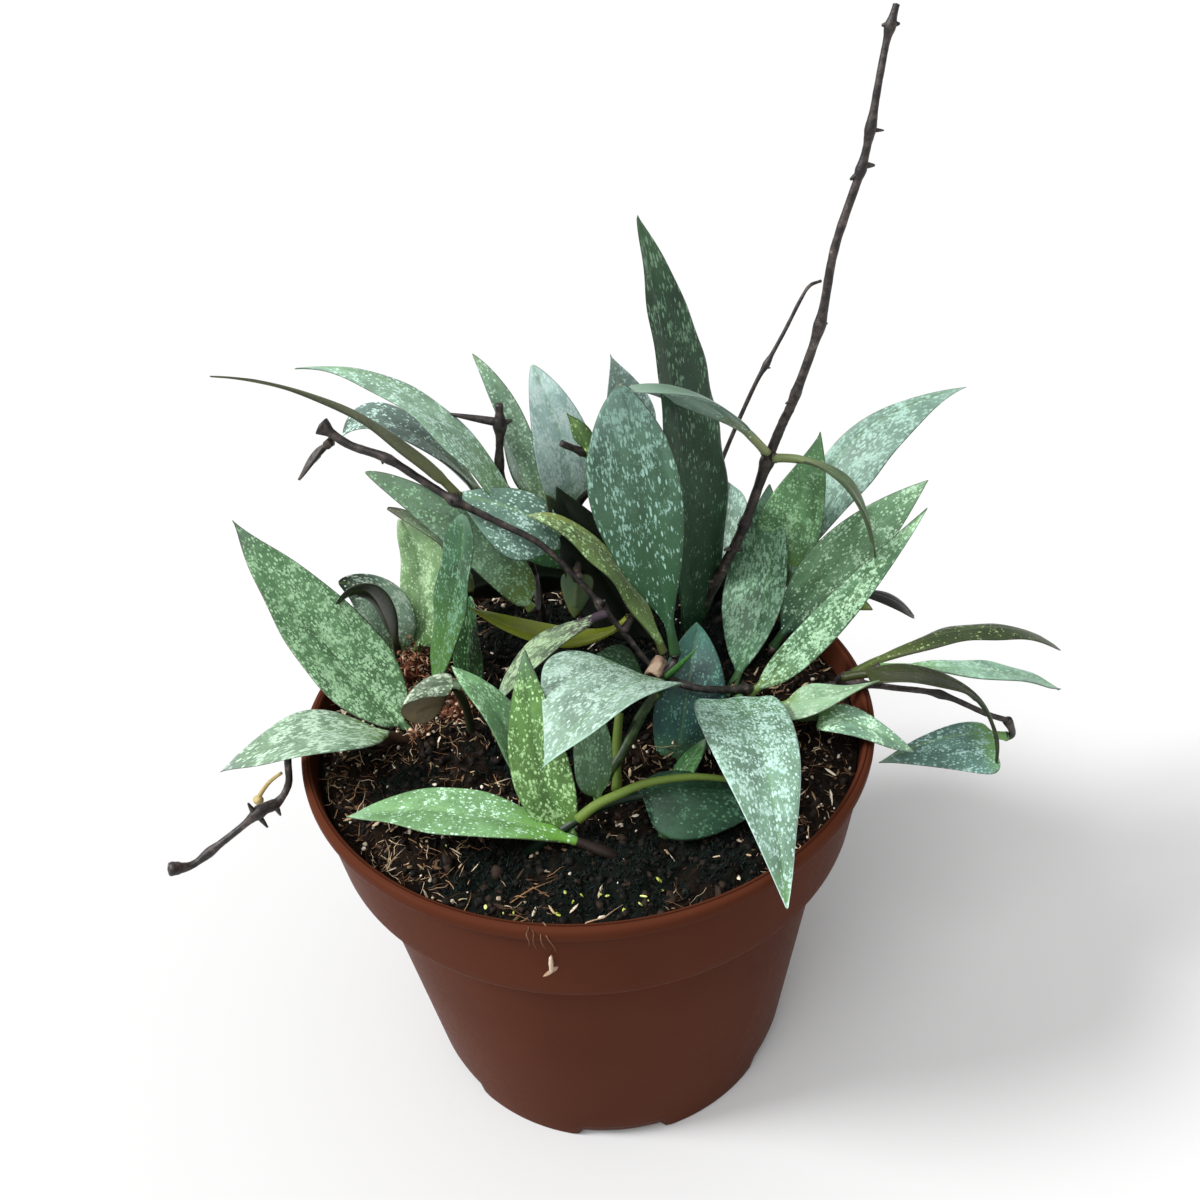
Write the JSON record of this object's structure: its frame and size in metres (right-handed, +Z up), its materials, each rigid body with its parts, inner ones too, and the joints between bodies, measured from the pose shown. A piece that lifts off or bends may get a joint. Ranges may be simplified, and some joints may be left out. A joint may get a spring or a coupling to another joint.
{
  "type": "potted hoya plant",
  "caption": "Narrow-leaved speckled hoya house plant with arching woody stems, growing in soil in a round tapered plastic nursery pot.",
  "frame": {"origin": "middle of the pad under the pot, on the plane that the pot stands on", "axes": "+Z up along the pot's axis, -Y towards the front of the plant as pictured, +X to its right"},
  "size_m": [0.1925, 0.12, 0.2172],
  "materials": {
    "pot_plastic": "terracotta-brown moulded polypropylene, satin",
    "soil": "moist coir and peat potting mix",
    "bark": "dark brown thin bark",
    "leaf_fresh": "waxy leaf with dense pale flecks",
    "leaf_lime": "young yellow-green leaf",
    "leaf_teal": "waxy blue-green leaf with pale flecks",
    "leaf_silver": "leaf with a silvery cast",
    "leaf_deep": "dark green shaded leaf",
    "leaf_olive": "olive leaf, seen edge-on or from below"
  },
  "bodies": {
    "root": {"pot": "pot_plastic", "soil": "soil", "left_broad": "leaf_fresh", "left_low": "leaf_fresh", "left_behind": "leaf_teal", "left_dark": "leaf_olive", "left_upright_lime": "leaf_lime", "left_upright_teal": "leaf_teal", "left_shade": "leaf_deep", "back_left_low": "leaf_fresh", "back_left_tip": "leaf_olive", "arching_top": "leaf_teal", "arching_under": "leaf_deep", "long_narrow": "leaf_olive", "blue_cross": "leaf_teal", "back_lime": "leaf_lime", "back_silver": "leaf_silver", "back_shade": "leaf_deep", "back_teal_tip": "leaf_teal", "centre_silver": "leaf_silver", "tall_dark": "leaf_deep", "centre_olive": "leaf_olive", "centre_hanging": "leaf_fresh", "centre_shade": "leaf_deep", "centre_arch": "leaf_silver", "centre_yellow": "leaf_lime", "tall_left": "leaf_olive", "tall_right": "leaf_olive", "front_left_dark": "leaf_deep", "front_left_curl": "leaf_olive", "front_upright": "leaf_fresh", "front_low": "leaf_fresh", "front_silver": "leaf_silver", "front_inner": "leaf_deep", "front_teal": "leaf_teal", "front_yellow_stalk": "leaf_deep", "right_silver_top": "leaf_silver", "right_back": "leaf_fresh", "right_upright": "leaf_silver", "right_pale": "leaf_silver", "right_shade": "leaf_deep", "right_bright": "leaf_fresh", "right_hanging": "leaf_silver", "right_light_arch": "leaf_fresh", "right_strip": "leaf_teal", "right_strap": "leaf_olive", "right_olive_arch": "leaf_olive", "right_low_teal": "leaf_teal", "right_small": "leaf_teal", "right_dark_strap": "leaf_deep", "stem_tall": "bark", "stem_tendril": "bark", "stem_runner": "bark", "stem_right": "bark", "stem_trailing": "bark", "stem_back": "bark", "stem_back_stub": "bark", "stem_left": "bark", "stem_right_back": "bark", "stem_front": "bark"}
  },
  "joints": []
}
